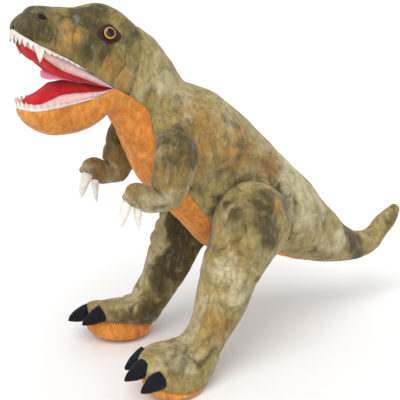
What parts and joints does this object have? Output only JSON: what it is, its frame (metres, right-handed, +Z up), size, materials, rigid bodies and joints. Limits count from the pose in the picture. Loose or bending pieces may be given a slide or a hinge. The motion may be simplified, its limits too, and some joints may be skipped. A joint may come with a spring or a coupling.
{
  "type": "stuffed dinosaur",
  "caption": "Standing plush tyrannosaur with an open felt-lined mouth, small clawed arms, padded clawed feet and an upturned tail.",
  "frame": {"origin": "on the floor, below the middle of the bounding box", "axes": "+Z up, -X the way the toy faces, +Y its right side"},
  "size_m": [0.6702, 0.2714, 0.5367],
  "materials": {
    "printed_plush": "short olive printed plush with a soft sheen",
    "orange_plush": "short mottled orange plush",
    "stuffing": "loose polyester fibre",
    "dark_plush": "short dark olive plush",
    "red_felt": "red felt, padded",
    "pink_felt": "pale pink felt",
    "tooth_felt": "off-white felt",
    "eye_plastic": "clear amber plastic with a black pupil",
    "washer_plastic": "moulded white plastic",
    "patch_felt": "dark brown felt",
    "black_felt": "black felt",
    "tongue_felt": "ribbed pink felt",
    "navy_plush": "dark navy short plush",
    "brown_plush": "short dark brown plush",
    "claw_satin": "ivory satin"
  },
  "bodies": {
    "torso": {"torso_skin": "printed_plush", "belly_panel": "orange_plush", "torso_stuffing": "stuffing"},
    "head": {"neck_skin": "printed_plush", "throat_panel": "orange_plush", "neck_stuffing": "stuffing", "head_skin": "printed_plush", "nose_panel": "dark_plush", "head_stuffing": "stuffing", "palate_lining": "red_felt", "upper_gum": "pink_felt", "upper_teeth": "tooth_felt", "eye_left": "eye_plastic", "eye_right": "eye_plastic", "eye_washer_left": "washer_plastic", "eye_washer_right": "washer_plastic", "eye_patch_left": "patch_felt", "eye_patch_right": "patch_felt", "brow_left": "dark_plush", "brow_right": "dark_plush", "nostril_left": "black_felt", "nostril_right": "black_felt"},
    "jaw": {"jaw_skin": "orange_plush", "jaw_stuffing": "stuffing", "mouth_floor_lining": "red_felt", "lower_gum": "pink_felt", "lower_teeth": "tooth_felt"},
    "tongue": {"tongue": "tongue_felt"},
    "tail": {"tail_skin": "printed_plush", "tail_under_panel": "orange_plush", "tail_stuffing": "stuffing"},
    "leg_left": {"leg_skin_left": "printed_plush", "leg_stuffing_left": "stuffing", "sole_panel_left": "orange_plush", "toe_claw_1_left": "navy_plush", "toe_claw_2_left": "navy_plush", "toe_claw_3_left": "navy_plush"},
    "arm_left": {"arm_skin_left": "brown_plush", "arm_stuffing_left": "stuffing", "hand_claw_1_left": "claw_satin", "hand_claw_2_left": "claw_satin"},
    "leg_right": {"leg_skin_right": "printed_plush", "leg_stuffing_right": "stuffing", "sole_panel_right": "orange_plush", "toe_claw_1_right": "navy_plush", "toe_claw_2_right": "navy_plush", "toe_claw_3_right": "navy_plush"},
    "arm_right": {"arm_skin_right": "brown_plush", "arm_stuffing_right": "stuffing", "hand_claw_1_right": "claw_satin", "hand_claw_2_right": "claw_satin"}
  },
  "joints": [
    {"name": "neck_nod", "type": "hinge", "parent": "torso", "child": "head", "pos_m": [-0.15359, 0, 0.40199], "axis": [0, -1, 0], "range_deg": [-8, 8]},
    {"name": "jaw_open", "type": "hinge", "parent": "head", "child": "jaw", "pos_m": [-0.21449, 0, 0.43099], "axis": [0, -1, 0], "range_deg": [-3, 10]},
    {"name": "tongue_flap", "type": "hinge", "parent": "jaw", "child": "tongue", "pos_m": [-0.24743, 0, 0.44], "axis": [0, -1, 0], "range_deg": [-1, 3]},
    {"name": "shoulder_left", "type": "hinge", "parent": "torso", "child": "arm_left", "pos_m": [-0.14849, -0.06, 0.34899], "axis": [0, -1, 0], "range_deg": [-20, 20]},
    {"name": "shoulder_right", "type": "hinge", "parent": "torso", "child": "arm_right", "pos_m": [-0.14849, 0.06, 0.34899], "axis": [0, -1, 0], "range_deg": [-20, 20]},
    {"name": "hip_left", "type": "hinge", "parent": "torso", "child": "leg_left", "pos_m": [-0.0265, -0.056, 0.224], "axis": [0, -1, 0], "range_deg": [-10, 10]},
    {"name": "hip_right", "type": "hinge", "parent": "torso", "child": "leg_right", "pos_m": [-0.0265, 0.056, 0.224], "axis": [0, -1, 0], "range_deg": [-10, 10]},
    {"name": "tail_swing", "type": "hinge", "parent": "torso", "child": "tail", "pos_m": [0.12145, 0, 0.16857], "axis": [0.543, 0, 0.8397], "range_deg": [-10, 10]}
  ]
}
